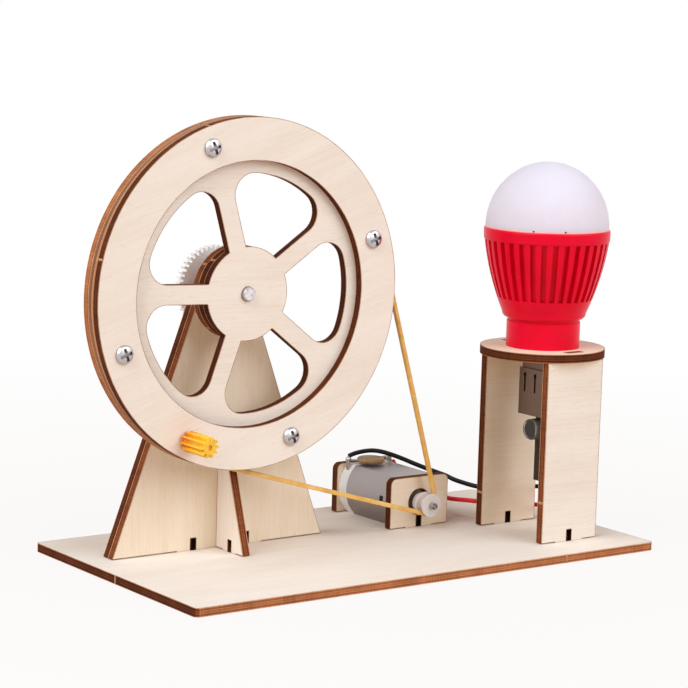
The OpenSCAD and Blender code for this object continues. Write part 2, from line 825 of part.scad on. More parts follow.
module wheel_axle() {
    bevel = 0.3;
    r = axle_d / 2;
    l = axle_back - disc_y + axle_proud;
    color(zinc) turned(stand_x, axle_z, axle_back)
        polygon([[0, 0], [r - bevel, 0], [r, bevel], [r, l - bevel], [r - bevel, l], [0, l]]);
}

module axle_sleeve() {
    color(white_plastic) difference() {
        bar(stand_x, axle_z, hub_back, stand_y - end_play, sleeve_d);
        bar(stand_x, axle_z, hub_back - over, stand_y + over, axle_d);
    }
}

module axle_gear() {
    color(white_plastic) difference() {
        union() {
            upright(gear_y, axle_gear_t) translate([stand_x, axle_z])
                polygon(gear_points(axle_gear_teeth, gear_m));
            bar(stand_x, axle_z, gear_y, axle_back - 0.5, axle_boss_d);
        }
        bar(stand_x, axle_z, gear_y - over, axle_back + over, axle_d);
    }
}

// A pan head with a cross recess, on a plain shank, with its seat at the origin
module pan_screw() {
    r = screw_head_d / 2;
    h = screw_head_h;
    shank = 3 * sheet_t + screw_tail;
    recess_w = 0.9;
    recess_l = 0.7 * screw_head_d;
    recess_h = 0.6 * h;
    head = [[0, 0], [r, 0], [r, 0.35 * h], [0.86 * r, 0.7 * h], [0.5 * r, 0.96 * h], [0, h]];
    difference() {
        union() {
            rotate_extrude() polygon(head);
            translate([0, 0, -shank]) cylinder(d = screw_d, h = shank + 0.1);
        }
        for (turn = [0, 90]) rotate(turn) translate([-recess_l / 2, -recess_w / 2, h - recess_h])
            cube([recess_l, recess_w, h]);
    }
}

module wheel_screws() {
    color(zinc) for (i = [0:screw_n - 1])
        let (a = screw_a + i * 360 / screw_n)
            translate([stand_x + screw_pcr * cos(a), ring_y, axle_z + screw_pcr * sin(a)])
                rotate([90, 0, 0]) rotate(a) pan_screw();
}

module crank_pin() {
    color(zinc) bar(crank_x, crank_z, knob_tip + knob_wall + end_play, rear_ring_y + sheet_t, pin_d);
}

module crank_knob() {
    dimple_d = 1.6;
    dimple_h = 0.6;
    color(amber) difference() {
        upright(knob_tip, knob_l) translate([crank_x, crank_z]) polygon(gear_points(knob_teeth, gear_m));
        bar(crank_x, crank_z, knob_tip + knob_wall, knob_back + over, pin_d + 2 * run_gap);
        bar(crank_x, crank_z, knob_tip - over, knob_tip + dimple_h, dimple_d);
    }
}

module motor_shaft() {
    color(zinc) bar(motor_x, motor_z, pulley_front - shaft_proud, shaft_back, shaft_d);
}

// Section of the rotor's three poles
module rotor_section() {
    pole_w = 2.2;
    shoe_t = 1.2;
    shoe_half = 48;
    r = rotor_d / 2;
    far = 2 * r;
    translate([motor_x, motor_z]) {
        circle(r = 2.4);
        for (i = [0:2]) rotate(90 + i * 120) {
            translate([0, -pole_w / 2]) square([r - shoe_t / 2, pole_w]);
            intersection() {
                difference() {
                    circle(r);
                    circle(r - shoe_t);
                }
                polygon([[0, 0], [far, -far * tan(shoe_half)], [far, far * tan(shoe_half)]]);
            }
        }
    }
}

module rotor_stack() {
    color(steel) upright(rotor_y, rotor_l) difference() {
        rotor_section();
        translate([motor_x, motor_z]) circle(d = shaft_d);
    }
}

// Three coils, each filling the room round one pole
module rotor_windings() {
    coil_w = 4.4;
    inner = 2.6;
    outer = rotor_d / 2 - 1.4;
    end_turn = 1.2;
    color(copper) difference() {
        upright(rotor_y - end_turn, rotor_l + 2 * end_turn) translate([motor_x, motor_z])
            for (i = [0:2]) rotate(90 + i * 120) translate([inner, -coil_w / 2])
                square([outer - inner, coil_w]);
        upright(rotor_y, rotor_l) rotor_section();
    }
}

module commutator() {
    color(copper) difference() {
        bar(motor_x, motor_z, commutator_y, commutator_y + commutator_l, commutator_d);
        bar(motor_x, motor_z, commutator_y - over, commutator_y + commutator_l + over, shaft_d);
    }
}

module drive_pulley() {
    flange_r = pulley_d / 2;
    groove = pulley_groove_d / 2;
    bore = shaft_d / 2;
    boss = pulley_boss_d / 2;
    back_l = pulley_boss_back - pulley_back;
    rear = back_l + pulley_flange_t;
    front = rear + pulley_groove_w;
    color(white_plastic) turned(motor_x, motor_z, pulley_boss_back)
        polygon([[bore, 0], [boss, 0], [boss, back_l], [flange_r, back_l], [flange_r, rear - 0.3],
            [groove, rear], [groove, front], [flange_r, front + 0.3], [flange_r, front + pulley_flange_t],
            [bore, front + pulley_flange_t]]);
}

// The bulb's own axis, on the round top
module on_lamp() {
    translate([lamp_x, lamp_y, disc_top]) children();
}

module bulb_housing() {
    neck = bulb_neck_d / 2;
    rim = bulb_rim_d / 2;
    waist = bulb_waist_d / 2;
    steps = 8;
    step_h = (bulb_band_z - bulb_waist_z) / steps;
    taper = [for (i = [0:steps]) let (z = bulb_waist_z + i * step_h) [bulb_side_r(z), z]];
    rise = rib_top_z - rib_bottom_z;
    run = bulb_side_r(rib_top_z) - bulb_side_r(rib_bottom_z);
    color(bulb_red) on_lamp() difference() {
        rotate_extrude($fn = 120) polygon(concat([[0, 0], [neck, 0], [neck, bulb_neck_h - 0.9],
            [neck - 0.3, bulb_neck_h - 0.7], [neck - 0.3, bulb_neck_h], [waist - 0.8, bulb_neck_h + 0.2],
            [waist - 0.2, bulb_neck_h + 0.9]], taper,
            [[rim - 0.1, bulb_band_z], [rim, bulb_seam_h - bulb_lip_h], [rim - dome_inset, bulb_seam_h],
            [0, bulb_seam_h]]));
        translate([0, 0, bulb_seam_h - led_recess]) cylinder(d = led_board_d + 1, h = led_recess + over);
        for (i = [0:rib_n - 1]) rotate((i + 0.5) * 360 / rib_n)
            translate([bulb_side_r(rib_bottom_z) - rib_depth, -rib_w / 2, rib_bottom_z])
                rotate([0, atan2(run, rise), 0]) cube([4 * rib_depth, rib_w, norm([run, rise])]);
    }
}

// Points of a quarter ellipse from its side up to its top
function dome_arc(r, h, steps) = [for (i = [0:steps]) [r * cos(90 * i / steps), h * sin(90 * i / steps)]];

module bulb_dome() {
    r = bulb_rim_d / 2 - dome_inset;
    steps = 14;
    outer = dome_arc(r, dome_h, steps);
    inner = dome_arc(r - dome_wall, dome_h - dome_wall, steps);
    color(milky) on_lamp() translate([0, 0, bulb_seam_h]) rotate_extrude($fn = 120)
        polygon(concat(outer, [for (i = [steps:-1:0]) inner[i]]));
}

module bulb_led_board() {
    color(white_plastic) on_lamp() translate([0, 0, bulb_seam_h - led_recess])
        cylinder(d = led_board_d, h = led_board_t);
}

module bulb_leds() {
    led = [2.8, 3.5, 0.8];
    ring_r = 9;
    led_n = 6;
    color("#F4E27A") on_lamp() for (i = [0:led_n - 1]) rotate(i * 360 / led_n)
        translate([ring_r - led[0] / 2, -led[1] / 2, bulb_seam_h - led_recess + led_board_t]) cube(led);
}

module plug_shell() {
    color(zinc) translate([lamp_x, lamp_y, plug_tip]) difference() {
        translate([-plug_t / 2, -plug_w / 2, 0]) cube([plug_t, plug_w, plug_l]);
        translate([-plug_t / 2 + plug_wall, -plug_w / 2 + plug_wall, -over])
            cube([plug_t - 2 * plug_wall, plug_w - 2 * plug_wall, plug_l + 2 * over]);
    }
}

// Plastic core of the plug: a full block under the neck, a slab down one side
module plug_core() {
    in_w = plug_w - 2 * plug_wall;
    in_t = plug_t - 2 * plug_wall;
    block_h = plug_l - plug_in;
    color(white_plastic) translate([lamp_x, lamp_y, plug_tip]) {
        translate([-in_t / 2, -in_w / 2, 0]) cube([plug_core_t, in_w, plug_l]);
        translate([-in_t / 2, -in_w / 2, plug_in]) cube([in_t, in_w, block_h]);
    }
}

base_plate();
stand_front_plate();
stand_rear_plate();
stand_gusset();
motor_front_plate();
motor_rear_plate();
motor_can();
motor_end_cap();
motor_magnets();
motor_front_bush();
motor_rear_bush();
motor_brushes();
motor_terminals();
noise_capacitor();
lamp_front_post();
lamp_rear_post();
lamp_top_disc();
boost_board();
boost_parts();
storage_capacitor();
socket_shell();
socket_tongue();
drive_belt();
black_wire();
red_wire();
wheel_front_ring();
wheel_spoke_disc();
wheel_rear_ring();
hub_disc_front();
hub_disc_rear();
wheel_axle();
axle_sleeve();
axle_gear();
wheel_screws();
crank_pin();
crank_knob();
motor_shaft();
rotor_stack();
rotor_windings();
commutator();
drive_pulley();
bulb_housing();
bulb_dome();
bulb_led_board();
bulb_leds();
plug_shell();
plug_core();
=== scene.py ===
import math

import bmesh
import bpy
from mathutils import Matrix, Vector


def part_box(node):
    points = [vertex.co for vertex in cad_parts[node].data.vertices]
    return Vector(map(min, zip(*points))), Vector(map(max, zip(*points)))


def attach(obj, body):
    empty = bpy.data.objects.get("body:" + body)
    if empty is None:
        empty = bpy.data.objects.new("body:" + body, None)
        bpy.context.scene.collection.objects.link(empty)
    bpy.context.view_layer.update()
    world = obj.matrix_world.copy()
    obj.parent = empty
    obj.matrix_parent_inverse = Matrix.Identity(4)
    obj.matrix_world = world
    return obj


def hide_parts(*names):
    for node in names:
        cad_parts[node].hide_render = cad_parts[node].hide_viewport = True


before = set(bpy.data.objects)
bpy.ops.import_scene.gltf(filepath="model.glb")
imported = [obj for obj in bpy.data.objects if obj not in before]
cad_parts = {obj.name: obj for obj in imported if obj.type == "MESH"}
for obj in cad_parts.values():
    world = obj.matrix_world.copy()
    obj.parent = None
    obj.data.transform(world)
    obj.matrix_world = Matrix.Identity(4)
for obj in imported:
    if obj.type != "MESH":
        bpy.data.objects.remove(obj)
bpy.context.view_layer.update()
scene = bpy.context.scene
mm = 0.001

view_lens = 128.06
view_sensor = 36
view_near = 0.05
view_place = (-0.4116, -0.5628, 0.1625)
view_azimuth = -35.90
view_elevation = 8.30
view_roll = 1.67

camera_data = bpy.data.cameras.new("camera")
camera_data.lens = view_lens
camera_data.sensor_width = view_sensor
camera_data.clip_start = view_near
camera = bpy.data.objects.new("camera", camera_data)
scene.collection.objects.link(camera)
camera.matrix_world = (
    Matrix.Translation(view_place)
    @ Matrix.Rotation(math.radians(view_azimuth), 4, "Z")
    @ Matrix.Rotation(math.radians(90 - view_elevation), 4, "X")
    @ Matrix.Rotation(math.radians(view_roll), 4, "Z")
)
scene.camera = camera

# Base plate: one rectangle of three-ply basswood, laser-cut with rounded corners and a
# mortise for every upright. Its faces are sanded veneer, and the beam has scorched its
# edges. Two short bridges held it in the sheet, and their torn stubs are still pale.
sheet_t = 2.5 * mm
X, Y, Z = 0, 1, 2
up, down = (0, 0, 1), (0, 0, -1)
front, back = (0, -1, 0), (0, 1, 0)
left, right = (-1, 0, 0), (1, 0, 0)
# a face looks along a direction if the cosine between them is above this
looks_along = 0.7
# sockets of a Mix node that lays one colour over another
mix_share, mix_under, mix_over, mix_result = 0, 6, 7, 2


def linear(colour):
    """Linear RGBA of an sRGB hex colour."""
    parts = [int(colour[i : i + 2], 16) / 255 for i in (1, 3, 5)]
    return [c / 12.92 if c <= 0.04045 else ((c + 0.055) / 1.055) ** 2.4 for c in parts] + [1]


def add(tree, kind, settings=(), links=()):
    """Adds a shader node with its settings and its incoming links."""
    made = tree.nodes.new(kind)
    for key, value in dict(settings).items():
        if key == "stops":
            ramp = made.color_ramp
            while len(ramp.elements) < len(value):
                ramp.elements.new(1)
            for stop, (place, colour) in zip(ramp.elements, value):
                stop.position = place
                stop.color = linear(colour)
        elif isinstance(key, str) and hasattr(made, key):
            setattr(made, key, value)
        else:
            made.inputs[key].default_value = value
    for key, socket in dict(links).items():
        tree.links.new(socket, made.inputs[key])
    return made


def surface(name, colour, sockets):
    """A material of one Principled shader whose own sockets hold what is the same all over."""
    made = bpy.data.materials.new(name)
    made.use_nodes = True
    shader = made.node_tree.nodes["Principled BSDF"]
    shader.inputs["Base Color"].default_value = linear(colour)
    for key, value in sockets.items():
        shader.inputs[key].default_value = value
    return made, made.node_tree, shader


def clouded(name, stops, cloud_mm, sockets, noise=()):
    """A material whose colour drifts from tone to tone, in clouds of a size in mm."""
    made, tree, shader = surface(name, stops[len(stops) // 2][1], sockets)
    place = add(tree, "ShaderNodeTexCoord").outputs["Object"]
    cloud = add(
        tree,
        "ShaderNodeTexNoise",
        {"Scale": 1 / (cloud_mm * mm), "Detail": 2, **dict(noise)},
        {"Vector": place},
    )
    tone = add(tree, "ShaderNodeValToRGB", {"stops": stops}, {"Fac": cloud.outputs[0]})
    tree.links.new(tone.outputs[0], shader.inputs["Base Color"])
    return made


# tones of the veneer from its deepest to its palest bands; the yellower straw tone is painted warm
# bounce light, for the sheets that stand in shade and the disc under the red bulb
veneer = {
    "cream": ("#EADBCB", "#EFE2D4", "#F2E6DA", "#F4E9DE"),
    "straw": ("#EAD7BD", "#EFDCC3", "#F1E0C9", "#F3E4CF"),
}


def sanded_basswood(grain, turn=0, sheet="cream"):
    """Basswood veneer, rotary cut and sanded: pale, with fine fibres, soft bands and short pores."""
    name = "basswood_" + sheet + "_sanded_" + "xyz"[grain] + ("_turned" if turn else "")
    if name in bpy.data.materials:
        return bpy.data.materials[name]
    made, tree, shader = surface(name, veneer[sheet][1], {"Roughness": 0.7, "Specular IOR Level": 0.15})
    place = add(tree, "ShaderNodeTexCoord").outputs["Object"]

    # length with the grain and width across it, in mm, of fibres, growth bands and pores
    patterns = []
    for along, across, texture in (
        (16, 0.6, {"Detail": 3, "Roughness": 0.6}),
        (60, 7, {"Detail": 2, "Roughness": 0.5, "Distortion": 0.4}),
        (3, 0.3, {"Detail": 1, "Roughness": 0.4}),
    ):
        size = [along * mm if i == grain else across * mm for i in range(3)]
        laid = add(
            tree,
            "ShaderNodeMapping",
            {"vector_type": "TEXTURE", "Scale": size, "Rotation": (0, math.radians(turn), 0)},
            {"Vector": place},
        )
        patterns.append(
            add(tree, "ShaderNodeTexNoise", {"Scale": 1, **texture}, {"Vector": laid.outputs[0]})
        )
    fibre, band, pore = patterns
    both = add(
        tree, "ShaderNodeMath", {"operation": "ADD"}, {0: fibre.outputs[0], 1: band.outputs[0]}
    )
    half = add(tree, "ShaderNodeMath", {"operation": "MULTIPLY", 1: 0.5}, {0: both.outputs[0]})
    tone = add(
        tree,
        "ShaderNodeValToRGB",
        {"stops": list(zip((0.3, 0.46, 0.56, 0.72), veneer[sheet]))},
        {"Fac": half.outputs[0]},
    )
    pore_depth = add(
        tree,
        "ShaderNodeMapRange",
        {"From Min": 0.62, "From Max": 0.78, "To Min": 0, "To Max": 0.28},
        {"Value": pore.outputs[0]},
    )
    colour = add(
        tree,
        "ShaderNodeMix",
        {"data_type": "RGBA", mix_over: linear("#CFB491")},
        {mix_share: pore_depth.outputs[0], mix_under: tone.outputs[0]},
    )
    tree.links.new(colour.outputs[mix_result], shader.inputs["Base Color"])
    bump = add(
        tree,
        "ShaderNodeBump",
        {"Strength": 0.25, "Distance": 0.03 * mm},
        {"Height": fibre.outputs[0]},
    )
    tree.links.new(bump.outputs[0], shader.inputs["Normal"])
    return made


# face, pale, middle and deep tones of an edge, by how long the beam stayed on it
scorch = {
    "lightly": ("#DDAE86", "#CE9262", "#B06C46", "#8C5030"),
    "well": ("#CB9770", "#A0653E", "#7D4126", "#5C2B16"),
    "firmly": ("#A86C46", "#7C4427", "#552A17", "#3E1C0E"),
    "darkly": ("#A9744F", "#6B3A25", "#4A2214", "#33150C"),
}


def laser_edge(normal, burnt):
    """Three-ply edge as the beam leaves it: scorched plies, paler glue lines, streaks down the cut."""
    name = "basswood_edge_laser_" + burnt + "_" + "xyz"[normal]
    if name in bpy.data.materials:
        return bpy.data.materials[name]
    face_tone, pale, middle, deep = scorch[burnt]
    made, tree, shader = surface(name, middle, {"Roughness": 0.8, "Specular IOR Level": 0.08})
    place = add(tree, "ShaderNodeTexCoord")
    depth = add(tree, "ShaderNodeSeparateXYZ", {}, {"Vector": place.outputs["Generated"]})
    plies = add(
        tree,
        "ShaderNodeValToRGB",
        {
            "stops": [
                (0, face_tone),
                (0.05, face_tone),
                (0.1, middle),
                (0.3, deep),
                (0.35, pale),
                (0.42, middle),
                (0.6, middle),
                (0.66, pale),
                (0.71, deep),
                (0.9, middle),
                (0.95, face_tone),
                (1, face_tone),
            ]
        },
        {"Fac": depth.outputs[normal]},
    )
    # streaks 0.5 mm wide that run through the whole thickness
    streak_scale = [0 if i == normal else 1 / (0.5 * mm) for i in range(3)]
    streak_place = add(
        tree, "ShaderNodeMapping", {"Scale": streak_scale}, {"Vector": place.outputs["Object"]}
    )
    streak = add(
        tree,
        "ShaderNodeTexNoise",
        {"Scale": 1, "Detail": 2, "Roughness": 0.6},
        {"Vector": streak_place.outputs[0]},
    )
    # patches 5 mm across where the beam dwelt
    patch = add(
        tree,
        "ShaderNodeTexNoise",
        {"Scale": 1 / (5 * mm), "Detail": 2, "Roughness": 0.5},
        {"Vector": place.outputs["Object"]},
    )
    uneven = add(
        tree, "ShaderNodeMath", {"operation": "ADD"}, {0: streak.outputs[0], 1: patch.outputs[0]}
    )
    shade = add(
        tree,
        "ShaderNodeMapRange",
        {"From Min": 0.7, "From Max": 1.3, "To Min": 0.72, "To Max": 1.28},
        {"Value": uneven.outputs[0]},
    )
    shaded = add(
        tree,
        "ShaderNodeVectorMath",
        {"operation": "SCALE"},
        {0: plies.outputs[0], "Scale": shade.outputs[0]},
    )
    tree.links.new(shaded.outputs[0], shader.inputs["Base Color"])
    bump = add(
        tree,
        "ShaderNodeBump",
        {"Strength": 0.4, "Distance": 0.05 * mm},
        {"Height": streak.outputs[0]},
    )
    tree.links.new(bump.outputs[0], shader.inputs["Normal"])
    return made


# smoke browns the veneer along each cut, and painted shade along the arris darkens it more: a thin dark
# line round every sheet
cut_line = clouded(
    "basswood_cut_line_smoke_shade",
    [(0.3, "#9A7559"), (0.5, "#B48F75"), (0.7, "#CBAA92")],
    3,
    {"Roughness": 0.8, "Specular IOR Level": 0.08},
    {"Detail": 3},
)


def ply(node, normal, grain, burnt="well", turn=0, sheet="cream"):
    """Gives a sheet its veneer on the two faces and the scorched finish on every cut edge."""
    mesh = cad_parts[node].data
    mesh.materials.clear()
    for finish in (sanded_basswood(grain, turn, sheet), laser_edge(normal, burnt)):
        mesh.materials.append(finish)
    for face in mesh.polygons:
        face.material_index = 0 if abs(face.normal[normal]) > looks_along else 1


def into_scene(shape, name, material):
    """Makes a finished shape a piece of the scene, of one material."""
    mesh = bpy.data.meshes.new(name)
    shape.to_mesh(mesh)
    shape.free()
    mesh.materials.append(material)
    piece = bpy.data.objects.new(name, mesh)
    scene.collection.objects.link(piece)
    return piece


def cut_lines(name, body, facings, *nodes):
    """The smoke-browned lines, darkened more as painted shade along the arris, on the outlines of those
    faces of the sheets that look these ways.
    """
    line_w, proud = 0.18 * mm, 0.01 * mm
    shape = bmesh.new()
    for node, facing in [(node, Vector(facing)) for node in nodes for facing in facings]:
        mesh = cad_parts[node].data
        sides = {}
        for face in mesh.polygons:
            if face.normal.dot(facing) > looks_along:
                ring = [mesh.vertices[i].co for i in face.vertices]
                for start, end in zip(ring, ring[1:] + ring[:1]):
                    ends = [tuple(round(c / mm, 3) for c in point) for point in (start, end)]
                    key = tuple(sorted(ends))
                    sides[key] = None if key in sides else (start, end)
        for start, end in filter(None, sides.values()):
            inward = facing.cross(end - start).normalized() * line_w
            corners = (start, end, end + inward, start + inward)
            shape.faces.new([shape.verts.new(corner + facing * proud) for corner in corners])
    piece = into_scene(shape, name, cut_line)
    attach(piece, body)


ply("base_plate", normal=Z, grain=X, burnt="lightly")
# its two ends are cut across the grain; painted shade darkens their edges, less so round the corners
base_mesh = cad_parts["base_plate"].data
base_mesh.materials.append(laser_edge(Z, "firmly"))
base_mesh.materials.append(laser_edge(Z, "well"))
end_shaded, corner_shaded = 2, 3
# no mortise reaches this far out, so beyond it only the ends and their corners look along x
end_x = 75 * mm
# least cosine to x of a corner's faces, and of an end's
corner_slant, end_slant = 0.3, 0.85
for face in base_mesh.polygons:
    slant = abs(face.normal.x)
    if slant > corner_slant and abs(face.center.x) > end_x:
        face.material_index = end_shaded if slant > end_slant else corner_shaded
cut_lines("base_cut_lines", "frame", [up], "base_plate")

# a torn bridge shows clean fibres between browned ones
torn_basswood = clouded(
    "basswood_torn",
    [(0.3, "#9A6A45"), (0.7, "#CFA27A")],
    0.4,
    {"Roughness": 0.8, "Specular IOR Level": 0.1},
    {"Roughness": 0.6},
)


def stubs(name, body, places, proud=0.12):
    """Torn bridges, each with its point on a cut edge, its way out and the way across its sheet."""
    stub_w, root, stub_out = 0.8 * mm, 0.05 * mm, proud * mm
    # how far out each ring of a stub lies, and its share of the stub's width and the sheet's thickness
    profile = ((-root, 1.0, 1.0), (0.6 * stub_out, 0.9, 1.0), (stub_out, 0.55, 0.84))
    shape = bmesh.new()
    for point, out, across in places:
        point, out, across = Vector(point) * mm, Vector(out).normalized(), Vector(across)
        along = out.cross(across)
        rings = []
        for rise, width, thickness in profile:
            middle = point + out * rise
            wide, thick = along * (width * stub_w / 2), across * (thickness * sheet_t / 2)
            corners = [middle + wide * a + thick * b for a, b in ((-1, -1), (1, -1), (1, 1), (-1, 1))]
            rings.append([shape.verts.new(corner) for corner in corners])
        for low, high in zip(rings, rings[1:]):
            for i in range(4):
                shape.faces.new((low[i], low[(i + 1) % 4], high[(i + 1) % 4], high[i]))
        shape.faces.new(rings[-1])
        shape.faces.new(rings[0][::-1])
    bmesh.ops.recalc_face_normals(shape, faces=shape.faces)
    piece = into_scene(shape, name, torn_basswood)
    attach(piece, body)


stubs(
    "base_stubs",
    "frame",
    [((-80, -1.8, 1.25), left, up), ((46.2, -43, 1.25), front, up)],
    proud=0.01,
)

# Stand: two tall plates glued face to face, and a gusset in front of them. Each is cut from
# the same sheet, with a slit at its tenon so that it springs into its mortise.
ply("stand_front_plate", normal=Y, grain=Z, sheet="straw")
ply("stand_rear_plate", normal=Y, grain=Z, burnt="firmly", sheet="straw")
ply("stand_gusset", normal=X, grain=Z)
cut_lines("stand_cut_lines", "frame", [front], "stand_front_plate")
cut_lines("stand_back_lines", "frame", [back], "stand_rear_plate")
cut_lines("gusset_cut_lines", "frame", [left, right], "stand_gusset")

# the walls of the narrow slits are charred, and painted shade makes them nearly black
slit_char_shade = clouded(
    "basswood_slit_char_shaded",
    [(0.3, "#140A06"), (0.7, "#2A1810")],
    0.6,
    {"Roughness": 0.9, "Specular IOR Level": 0.05},
)


def slits_char_shaded(node, along):
    """Blackens the slits over a sheet's tenons, just above the base and away from its sides, as char
    and painted shade.
    """
    slit_top, slit_side = sheet_t + 4 * mm, 2.5 * mm
    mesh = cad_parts[node].data
    mesh.materials.append(slit_char_shade)
    low, high = (corner[along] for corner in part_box(node))
    for face in mesh.polygons:
        inside = min(face.center[along] - low, high - face.center[along]) > slit_side
        if face.material_index == 1 and inside and sheet_t < face.center.z < slit_top:
            face.material_index = 2


for node, along in (("stand_front_plate", X), ("stand_rear_plate", X), ("stand_gusset", Y)):
    slits_char_shaded(node, along)

# Flywheel: two plain rings with a five-spoked disc between them, whose smaller diameter
# leaves the belt groove, and two discs that thicken the hub. All are laser-cut sheet,
# held by the screws, with the stubs of their bridges on the rims.
ply("wheel_front_ring", normal=Y, grain=X, burnt="firmly", turn=-18)
ply("wheel_spoke_disc", normal=Y, grain=X, burnt="darkly")
ply("wheel_rear_ring", normal=Y, grain=X, burnt="lightly")
ply("hub_disc_front", normal=Y, grain=X, burnt="darkly")
ply("hub_disc_rear", normal=Y, grain=X)
cut_lines("wheel_cut_lines", "flywheel", [front], "wheel_front_ring", "wheel_spoke_disc")
cut_lines(
    "wheel_back_lines", "flywheel", [back], "wheel_rear_ring", "wheel_spoke_disc", "hub_disc_rear"
)

# the axle's place in x and z, in mm
wheel_centre = (-36.5, 77.0)


def opened(material):
    """The nodes of a material, its shader and the socket that gives its colour so far."""
    tree = material.node_tree
    shader = tree.nodes["Principled BSDF"]
    return tree, shader, shader.inputs["Base Color"].links[0].from_socket


def from_axle(tree):
    """Distance from the wheel's axis, for what follows its rim."""
    place = add(tree, "ShaderNodeTexCoord").outputs["Object"]
    axis = (wheel_centre[0] * mm, 0, wheel_centre[1] * mm)
    flat = add(tree, "ShaderNodeVectorMath", {"operation": "MULTIPLY", 1: (1, 0, 1)}, {0: place})
    away = add(
        tree, "ShaderNodeVectorMath", {"operation": "DISTANCE", 1: axis}, {0: flat.outputs[0]}
    )
    return away.outputs["Value"]


# painted shade browns the rear ring's inner face where it lines the belt groove
ring_shade_from, ring_shade_full = 46.5 * mm, 48 * mm
groove_shaded_basswood = sanded_basswood(X).copy()
groove_shaded_basswood.name = "basswood_veneer_groove_shaded"
tree, shader, clean_tone = opened(groove_shaded_basswood)
ring_shade_ramp = add(
    tree,
    "ShaderNodeMapRange",
    {"From Min": ring_shade_from, "From Max": ring_shade_full, "To Min": 0, "To Max": 0.75},
    {"Value": from_axle(tree)},
)
ring_shade_mix = add(
    tree,
    "ShaderNodeMix",
    {"data_type": "RGBA", mix_over: linear("#C08055")},
    {mix_share: ring_shade_ramp.outputs[0], mix_under: clean_tone},
)
tree.links.new(ring_shade_mix.outputs[mix_result], shader.inputs["Base Color"])
rear_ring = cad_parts["wheel_rear_ring"].data
rear_ring.materials.append(groove_shaded_basswood)
for face in rear_ring.polygons:
    if face.normal.y < -looks_along:
        face.material_index = 2


def on_rim(radius, y, angle):
    """A stub's place on a round sheet of the wheel, its sheet's middle at y, in mm and degrees."""
    across, rise = math.cos(math.radians(angle)), math.sin(math.radians(angle))
    point = (wheel_centre[0] + radius * across, y, wheel_centre[1] + radius * rise)
    return point, (across, 0, rise), back


# in mm: the radii at which stubs stand on the rings and the hub
rim_stub_r, hub_stub_r = 49.4, 13.3
# middles in y of the front ring, of the rear ring with the front hub disc, and of the rear disc
front_ring_y, rear_ring_y, rear_hub_y = 0.65, 5.65, 8.15
stubs(
    "wheel_stubs",
    "flywheel",
    [
        on_rim(rim_stub_r, front_ring_y, 107.8),
        on_rim(rim_stub_r, rear_ring_y, 107.8),
        on_rim(rim_stub_r, front_ring_y, 166.3),
        on_rim(rim_stub_r, front_ring_y, 287.8),
        on_rim(rim_stub_r, rear_ring_y, 287.8),
        on_rim(hub_stub_r, rear_ring_y, 134.5),
        on_rim(hub_stub_r, rear_hub_y, 142),
        on_rim(hub_stub_r, rear_hub_y, 228),
    ],
)

# Axle, crank pin and ring screws: drawn steel rod, cut to length, and cross-recess pan-head
# screws, bright zinc plated. The screws cut their own thread in the plies of the wheel.


def dress(material, *nodes):
    """Gives CAD nodes one material all over."""
    for node in nodes:
        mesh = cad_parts[node].data
        mesh.materials.clear()
        mesh.materials.append(material)
        for face in mesh.polygons:
            face.material_index = 0


def bright_metal(name, colour, roughness, grain_mm):
    """Plated or drawn metal: mirror-like, dulled a little by a fine grain."""
    made, tree, shader = surface(name, colour, {"Metallic": 1.0})
    place = add(tree, "ShaderNodeTexCoord").outputs["Object"]
    grain = add(
        tree,
        "ShaderNodeTexNoise",
        {"Scale": 1 / (grain_mm * mm), "Detail": 3, "Roughness": 0.6},
        {"Vector": place},
    )
    dull = add(
        tree,
        "ShaderNodeMapRange",
        {"To Min": roughness * 0.75, "To Max": roughness * 1.3},
        {"Value": grain.outputs[0]},
    )
    tree.links.new(dull.outputs[0], shader.inputs["Roughness"])
    bump = add(
        tree,
        "ShaderNodeBump",
        {"Strength": 0.08, "Distance": 0.02 * mm},
        {"Height": grain.outputs[0]},
    )
    tree.links.new(bump.outputs[0], shader.inputs["Normal"])
    return made


# zinc plate is pale and bright, and drawn rod hardly darker
zinc_plate = bright_metal("steel_zinc_plated", "#C2BBBB", 0.32, 0.5)
drawn_steel = bright_metal("steel_drawn_rod", "#B9B2B2", 0.3, 0.3)
dress(zinc_plate, "wheel_screws")
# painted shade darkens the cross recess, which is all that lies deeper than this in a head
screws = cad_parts["wheel_screws"].data
screws.materials.append(bright_metal("steel_zinc_recess_shaded", "#8A8280", 0.35, 0.3))
recess_from, recess_r = 0.4, 1.95
# in mm and degrees: a head's front and seat in y, the screws' circle, first angle and step
head_front, head_seat = -2.2, -0.7
screw_circle, screw_first, screw_step = 43.45, 19, 90
for face in screws.polygons:
    out = Vector((face.center.x / mm - wheel_centre[0], face.center.z / mm - wheel_centre[1]))
    steps = round((math.degrees(math.atan2(out.y, out.x)) - screw_first) / screw_step)
    turn = math.radians(screw_first + steps * screw_step)
    off = out - screw_circle * Vector((math.cos(turn), math.sin(turn)))
    if off.length < recess_r and head_front + recess_from < face.center.y / mm < head_seat:
        face.material_index = 1
dress(drawn_steel, "wheel_axle", "crank_pin", "motor_shaft")
# the axle's ends are sawn, matt and paler, with smears of dark oil
sawn_steel = clouded(
    "steel_sawn_end",
    [(0.32, "#ADA3A2"), (0.45, "#CFC6C6"), (0.7, "#DFD8D8")],
    0.9,
    {"Metallic": 0.6, "Roughness": 0.5},
    {"Detail": 3},
)
# the motor's shaft is sheared, which leaves its end rough and dark
sheared_steel = clouded(
    "steel_sheared_end",
    [(0.4, "#4E443F"), (0.52, "#8A7F79"), (0.62, "#DAD3CF")],
    0.4,
    {"Metallic": 0.8, "Roughness": 0.4},
)
# a rod's end looks nearly straight along it, which leaves out a chamfer
end_cosine = 0.9
for node, end in (("wheel_axle", sawn_steel), ("motor_shaft", sheared_steel)):
    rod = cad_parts[node].data
    rod.materials.append(end)
    for face in rod.polygons:
        if abs(face.normal.y) > end_cosine:
            face.material_index = 1

# Sleeve and retaining gear on the axle: white nylon, injection moulded. The sleeve keeps the
# hub off the stand, and the gear is pressed on behind it. Both are dull and nearly pure white.


